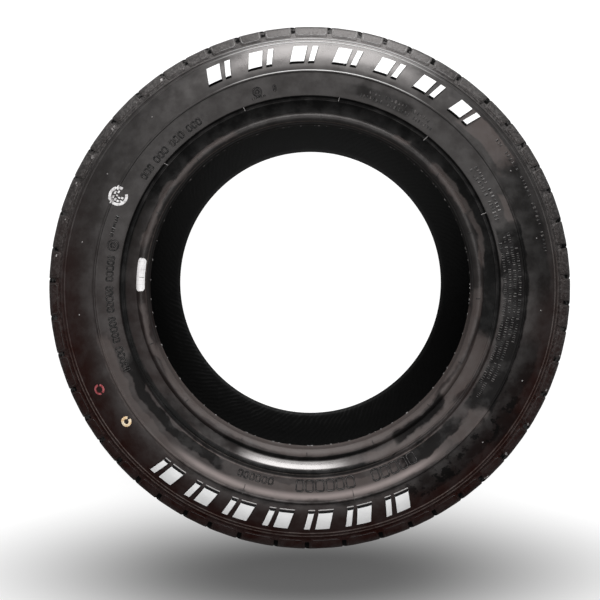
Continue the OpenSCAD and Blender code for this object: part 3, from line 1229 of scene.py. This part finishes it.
def rubber():
    """Black rubber: greyish where dry, dark and shiny where dressed, brownish low on the shoulder, with
    painted sheen, painted highlights and painted shade in its channels.
    """
    n, place = new_material("rubber")
    mottle = n.noise(place, 60, 4, 0.6)
    grain = n.noise(place, 330, 4, 0.7)
    on = rubber_masks(n, place, grain)
    colour = n.painted(
        n.mix(on.brown, grey(0.015, 0.1), (0.019, 0.005, 0.0035, 1)),
        (on.dry_and_sheen, 0.9, (0.056, 0.045, 0.042, 1)),
        (on.pale, 0.9, (0.29, 0.245, 0.235, 1)),
        (on.dust_and_painted_light, 0.9, grey(0.15, 0.05)),
        (on.dressed, 0.9, grey(0.005)),
        (on.stained, 0.6, grey(0.006)),
        (on.channel, 1, grey(0.009)),
        (n.ramp(mottle, 0.35, 0.75), 0.2, grey(0.03)),
        (on.dusty_tread, 1, grey(0.08, 0.1)),
        (on.wear_and_highlight, 1, (0.12, 0.095, 0.085, 1)),
        (on.bright, 1, grey(0.6)),
        (on.blots, 0.85, grey(0.003)),
    )
    rough = n.shifted(
        n.ramp(mottle, 0.3, 0.7, 0.4, 0.5),
        (on.dry_and_sheen, 0.1),
        (on.dressed, -0.12),
        (on.tread, 0.08),
        (on.wet, -0.24),
        (on.polished, -0.16),
    )
    specular = n.shifted(
        n.ramp(mottle, 0.3, 0.7, 0.35, 0.65),
        (on.dressed, -0.38),
        (on.stained, -0.2),
        (on.channel, -0.35),
        (on.blots, -0.3),
        (on.brown, -0.3),
        (on.wet, 0.7),
        (on.polished, 0.42),
    )
    waves = n.noise(place, 38, 2)
    fine = n.noise(place, 700, 2)
    pitted = n.times(grain, on.tread)
    return n.shader(
        colour,
        rough,
        n.math("MAXIMUM", specular, 0.06),
        ((waves, 0.35, 0.0012), (fine, 0.12, 0.0002), (pitted, 0.8, 0.0016)),
        Specular_Tint=(1.0, 0.95, 0.935, 1),
        Coat_Weight=on.wet,
        Coat_Roughness=0.14,
    )


def painted_slot_shade():
    """Painted shade in the channels between the shoulder blocks: black at the bottom, in patches elsewhere.
    """
    n, place = new_material("painted_slot_shade")
    _, angle = n.polar(place)
    patches = n.ramp(n.noise(place, 210, 3, 0.6), 0.44, 0.54)
    # Black at the bottom: painted shade
    patches = n.math("MAXIMUM", patches, n.arc(angle, -95, 45, 15))
    colour = n.mix(patches, grey(0.03, 0.1), grey(0.002))
    specular = n.ramp(patches, 0, 1, 0.35, 0.03)
    return n.shader(colour, 0.6, specular)


def edge_rubber():
    """The thin lines round the blocks: pale at the top as a painted highlight, broken up by dust, and darker
    and browner at the bottom.
    """
    n, place = new_material("edge_rubber")
    _, angle = n.polar(place)
    dust = n.ramp(n.noise(place, 200, 3, 0.6), 0.35, 0.65, 0.3, 1.0)
    # Painted highlight: pale at the top, broken up by dust
    pale = n.times(n.arc(angle, 86, 24, 18), dust)
    colour = n.mix(n.arc(angle, -95, 45, 30), grey(0.03, 0.2), (0.014, 0.006, 0.005, 1))
    colour = n.mix(pale, colour, grey(0.26, 0.02))
    specular = n.ramp(pale, 0, 1, 0.25, 0.6)
    return n.shader(colour, 0.4, specular)


def liner_rubber():
    """The deep black inner liner, with the slanted lines that the curing bladder leaves near the bead, and
    painted light on its upper side.
    """
    n, place = new_material("liner_rubber")
    radius, angle = n.polar(place)
    grain = n.noise(place, 300, 3)
    slant = n.math("MULTIPLY_ADD", angle, 170, n.times(radius, 0.78))
    lines = n.math("SINE", n.math("MULTIPLY_ADD", n.noise(place, 45, 3, 0.6), 12, slant))
    near_bead = n.times(n.ramp(radius, 166, 194, 1.0, 0.0), n.arc(angle, -125, 55, 30))
    streaks = n.times(n.ramp(lines, -0.3, 1.0), near_bead)
    streaks = n.times(streaks, n.ramp(n.noise(place, 90, 3), 0.38, 0.62, 0.2, 1.0))
    # Painted light: the liner is lighter on its upper side
    upper = n.arc(angle, 90, 75, 40)
    colour = n.mix(grain, grey(0.006), grey(0.014))
    colour = n.mix(near_bead, colour, grey(0.017))
    colour = n.mix(streaks, colour, grey(0.042))
    colour = n.mix(upper, colour, grey(0.05))
    return n.shader(colour, 0.75, 0.3, ((lines, 0.2, 0.0004), (grain, 0.3, 0.0004)))


def white_rubber():
    """White rubber with a faint grey mottle."""
    n, place = new_material("white_rubber")
    mottle = n.noise(place, 120, 4)
    colour = n.mix(n.ramp(mottle, 0.35, 0.75), grey(0.95), grey(0.88))
    return n.shader(colour, 0.6, bumps=((mottle, 0.1, 0.0003),))


def plain(name, colour, rough, mottled=None, specular=0.5):
    """A plain material, with specks of a second colour if one is given."""
    n, place = new_material(name)
    if mottled:
        specks = n.ramp(n.noise(place, 260, 4, 0.65), 0.42, 0.62)
        colour = n.mix(specks, colour, mottled)
    return n.shader(colour, rough, specular)


def label_paper():
    """White paper with faint, evenly spaced grey stripes and a smudge."""
    n, place = new_material("label_paper")
    _, angle = n.polar(place)
    grey_stripes = n.ramp(n.math("ABSOLUTE", n.math("SINE", n.times(angle, 140))), 0.0, 0.22, 1.0, 0.0)
    smudge = n.ramp(n.noise(place, 160, 3), 0.5, 0.75)
    shade = n.math("MULTIPLY_ADD", grey_stripes, 0.45, n.times(smudge, 0.35))
    colour = n.mix(shade, (0.86, 0.84, 0.84, 1), (0.42, 0.4, 0.4, 1))
    return n.shader(colour, 0.6)


def floor_piece():
    """A pale floor under the tyre, which keeps the tyre's shadow. Below the tyre its glow is taken away as a
    painted shadow, and in the tyre's opening it glows fully white as painted light over the tyre's shade.
    """
    shape = Shape()
    corners = ((-1, -1), (1, -1), (1, 1), (-1, 1))
    shape.add([(FLOOR_HALF * x, FLOOR_HALF * y, BOX_LOW.z / MM) for x, y in corners], [(0, 1, 2, 3)])
    n, place = new_material("floor")
    radius, _ = n.polar(place)
    seen = n.node("LightPath").outputs["Is Camera Ray"]
    parts = n.node("SeparateXYZ", {0: place}).outputs
    across = n.math("DIVIDE", parts[0], PAINTED_SHADOW_REACH[0])
    down = n.math("DIVIDE", n.math("SUBTRACT", parts[1], PAINTED_SHADOW_MIDDLE_Y), PAINTED_SHADOW_REACH[1])
    away = n.math("SQRT", n.math("ADD", n.times(across, across), n.times(down, down)))
    # Painted shadow: the glow fades out below the tyre
    glow = n.ramp(away, 0.2, 1.4, 0.0, FLOOR_GLOW)
    # Painted light: full glow in the tyre's opening, over the tyre's shade there
    glow = n.math("MAXIMUM", glow, n.ramp(radius, *PAINTED_LIGHT_OPENING_RADII, 1.0, 0.0))
    glow = n.times(glow, seen)
    pale = n.shader(grey(FLOOR_TONE), 0.9, 0.1, Emission_Color=(1, 1, 1, 1), Emission_Strength=glow)
    return shape.piece("floor", [pale])


def world():
    """Even studio light, and white where the camera sees past the floor."""
    made = bpy.data.worlds.new("studio")
    bpy.context.scene.world = made
    n = Nodes(made)
    path = n.node("LightPath").outputs
    strength = n.math("MULTIPLY_ADD", path["Is Camera Ray"], 1 - WORLD_LIGHT, WORLD_LIGHT)
    background = n.node("Background", {"Color": (1, 1, 1, 1), "Strength": strength})
    n.node("OutputWorld", {"Surface": background.outputs[0]})


# Lamps: name, direction and height in degrees, distance and size in metres, and radiance
LAMPS = (
    ("strip", 87, 12, 3.0, (2.1, 0.9), 7.5),
    ("softbox", 87, 33, 3.0, (2.3, 1.3), 7.5),
    ("upper_box", 87, 58, 3.0, (2.3, 1.3), 2.6),
    ("overhead", -90, 77, 2.4, (1.6, 1.2), 2.6),
)


def lamp(name, turn_deg, height_deg, away, size, radiance):
    """A soft rectangular lamp at a direction and distance from the origin, which it faces."""
    data = bpy.data.lights.new(name, "AREA")
    data.shape = "RECTANGLE"
    data.size, data.size_y = size
    data.energy = radiance * math.pi * size[0] * size[1]
    made = linked(name, data)
    turn, height = math.radians(turn_deg), math.radians(height_deg)
    flat = math.cos(height)
    made.location = (away * flat * math.cos(turn), away * flat * math.sin(turn), away * math.sin(height))
    made.rotation_euler = (-made.location).to_track_quat("-Z", "Y").to_euler()


# Camera: its place in metres and, in pixels of a frame 600 pixels wide, its focal length, the point that it
# faces and the point that the wheel axis runs to, all found from the photograph's bead and tread rings
CAMERA_PLACE = (0.0011, 0.0146, 0.864)
FRAME_PX = 600
FOCAL_PX = 758
FACED_PX = (318.6, 239.5)
AXIS_PX = (311.6, 269.9)


def camera():
    """Looks down on the tyre, nearly along its axis."""
    data = bpy.data.cameras.new("camera")
    data.sensor_width = 36
    data.lens = FOCAL_PX / FRAME_PX * data.sensor_width
    data.shift_x = (FRAME_PX / 2 - FACED_PX[0]) / FRAME_PX
    data.shift_y = (FACED_PX[1] - FRAME_PX / 2) / FRAME_PX
    made = linked("camera", data)
    made.location = CAMERA_PLACE
    lean_x = math.atan((AXIS_PX[1] - FACED_PX[1]) / FOCAL_PX)
    lean_y = math.atan((AXIS_PX[0] - FACED_PX[0]) / FOCAL_PX)
    made.rotation_euler = (lean_x, lean_y, 0)
    bpy.context.scene.camera = made


def dress(piece, slot, *nodes):
    """Fixes a piece to the tyre, in place of any CAD nodes named."""
    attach(piece, "root")
    if nodes:
        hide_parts(*nodes)


camera()
world()
for settings in LAMPS:
    lamp(*settings)

RUBBER = rubber()
LINER = liner_rubber()
SLOT_SHADE = painted_slot_shade()
WHITE = white_rubber()
EDGE = edge_rubber()
MARK = plain("mark_rubber", grey(0.01), 0.4, grey(0.085, 0.1))
# Black rubber, made darker than the rest as painted shade on the bars' flanks and inner rims
BLACK_AND_PAINTED_SHADE = plain("flank_rubber", grey(0.004), 0.7, specular=0.1)
NUB = plain("nub", grey(0.27, 0.05), 0.5)
MARK_SHADE = plain("painted_mark_shade", grey(0.003), 0.7, specular=0.12)
SCUFFED = plain("scuffed_rubber", grey(0.12, 0.1), 0.6, grey(0.36, 0.05))
FLASH = plain("flash", grey(0.06, 0.1), 0.6, grey(0.2, 0.05))
FOOT = plain("foot_rubber", grey(0.3, 0.05), 0.5)
RED = plain("red_ink", (0.45, 0.11, 0.12, 1), 0.6, (0.25, 0.03, 0.035, 1))
YELLOW = plain("yellow_ink", (0.95, 0.8, 0.58, 1), 0.6, (0.8, 0.55, 0.3, 1))
STAMP_INK = plain("stamp_ink", (0.78, 0.77, 0.77, 1), 0.6, (0.5, 0.48, 0.48, 1))

dress(tyre_rubber([RUBBER, LINER, SLOT_SHADE]), "tyre", "tyre")
dress(block_outlines([EDGE]), "tyre")
dress(moulded_marks([MARK, MARK_SHADE]), "tyre")
dress(bead_ticks([LINER]), "tyre")
dress(vent_nubs([NUB]), "tyre")
dress(lip_hairs([NUB]), "tyre")
dress(slot_specks([SCUFFED]), "tyre")
dress(toe_flash([FLASH]), "tyre")
dress(paper_label(label_paper()), "label_paper", "bead_label")
dress(broken_ring("red_ring", *RED_RING, RED), "red_ink")
dress(broken_ring("yellow_ring", *YELLOW_RING, YELLOW), "yellow_ink")
dress(white_stamp(STAMP_INK), "white_ink")
dress(white_bars("upper_bars_pads", *UPPER_ARC, [WHITE, BLACK_AND_PAINTED_SHADE]), "white_rubber", "upper_bars")
dress(white_bars("lower_bars_pads", *LOWER_ARC, [WHITE, BLACK_AND_PAINTED_SHADE, FOOT], True), "white_rubber", "lower_bars")
floor_piece()

bpy.context.scene.view_settings.view_transform = "Standard"
